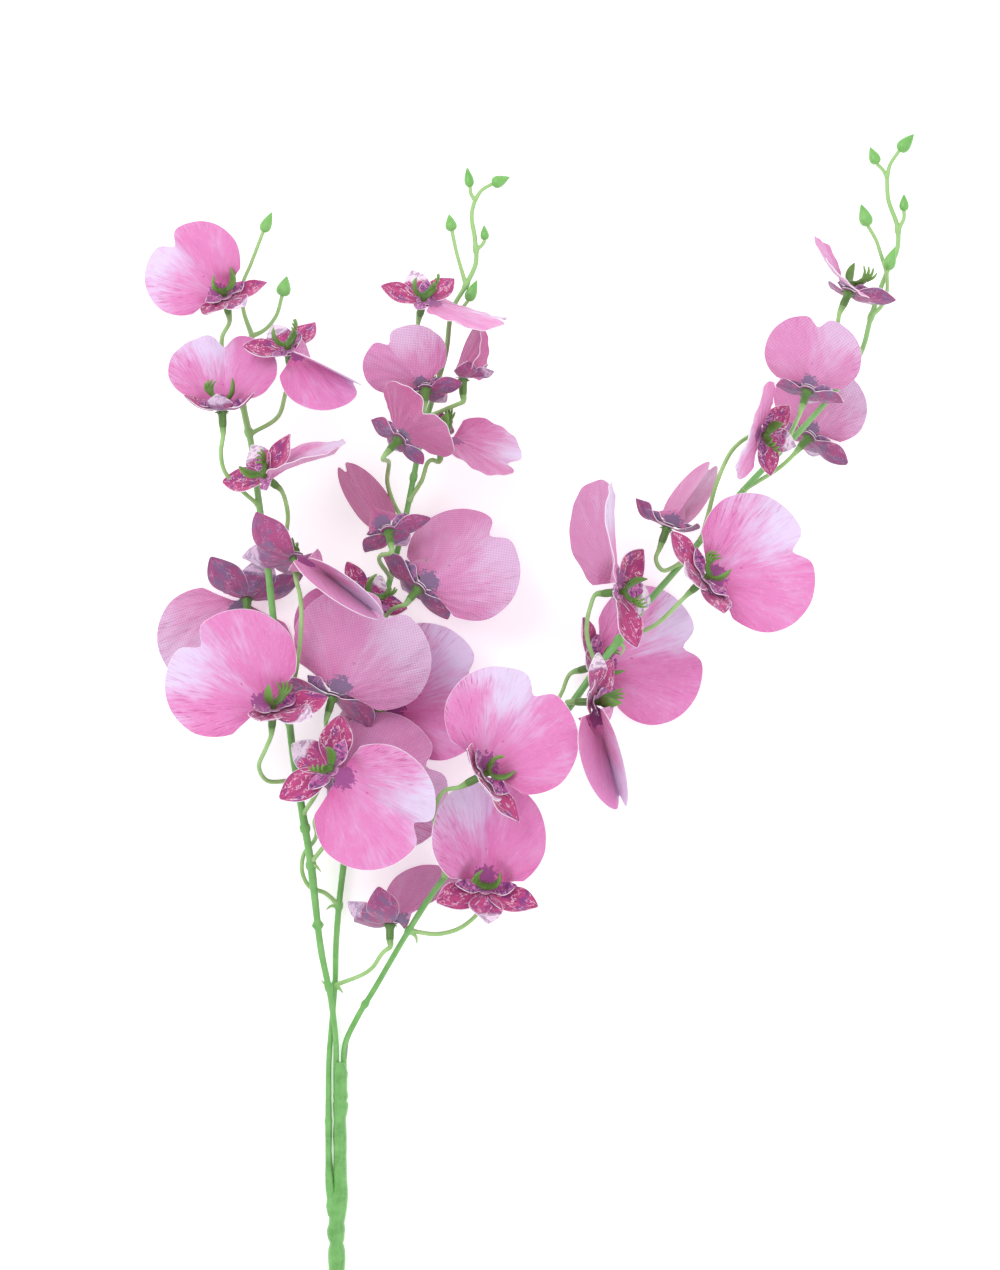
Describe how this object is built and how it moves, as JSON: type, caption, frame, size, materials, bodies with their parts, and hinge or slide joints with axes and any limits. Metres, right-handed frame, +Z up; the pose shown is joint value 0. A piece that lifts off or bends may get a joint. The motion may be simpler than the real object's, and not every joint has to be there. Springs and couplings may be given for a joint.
{
  "type": "artificial dancing lady orchid spray",
  "caption": "Artificial dancing lady orchid spray laid down: bound green plastic branch stems carrying two-lobed pink printed-cloth blooms and green buds.",
  "frame": {"origin": "on the surface that the spray lies on, under the middle of its bounding box", "axes": "+Y from the bound cut ends towards the tips of the stems, along the spray's length; +Z up, towards the viewer of the picture; +X to the viewer's right"},
  "size_m": [0.3843, 0.6455, 0.0994],
  "materials": {
    "stem_plastic": "moulded polyethylene, satin",
    "wrap_plastic": "lumpy moulded coating round the bound stems",
    "core_wire": "drawn wire",
    "bloom_cloth": "printed polyester cloth with white cut edges"
  },
  "bodies": {
    "root": {"stem_left": "stem_plastic", "stem_middle": "stem_plastic", "stem_right": "stem_plastic", "wire_left": "core_wire", "wire_middle": "core_wire", "wire_right": "core_wire", "tape_wrap": "wrap_plastic", "bloom_left_1": "bloom_cloth", "bloom_left_2": "bloom_cloth", "bloom_left_3": "bloom_cloth", "bloom_left_4": "bloom_cloth", "bloom_left_5": "bloom_cloth", "bloom_left_6": "bloom_cloth", "bloom_left_7": "bloom_cloth", "bloom_left_8": "bloom_cloth", "bloom_left_9": "bloom_cloth", "bloom_middle_1": "bloom_cloth", "bloom_middle_2": "bloom_cloth", "bloom_middle_3": "bloom_cloth", "bloom_middle_4": "bloom_cloth", "bloom_middle_5": "bloom_cloth", "bloom_middle_6": "bloom_cloth", "bloom_middle_7": "bloom_cloth", "bloom_middle_8": "bloom_cloth", "bloom_middle_9": "bloom_cloth", "bloom_middle_10": "bloom_cloth", "bloom_middle_11": "bloom_cloth", "bloom_right_1": "bloom_cloth", "bloom_right_2": "bloom_cloth", "bloom_right_3": "bloom_cloth", "bloom_right_4": "bloom_cloth", "bloom_right_5": "bloom_cloth", "bloom_right_6": "bloom_cloth", "bloom_right_7": "bloom_cloth", "bloom_right_8": "bloom_cloth", "bloom_right_9": "bloom_cloth", "bloom_right_10": "bloom_cloth", "bloom_right_11": "bloom_cloth"}
  },
  "joints": []
}
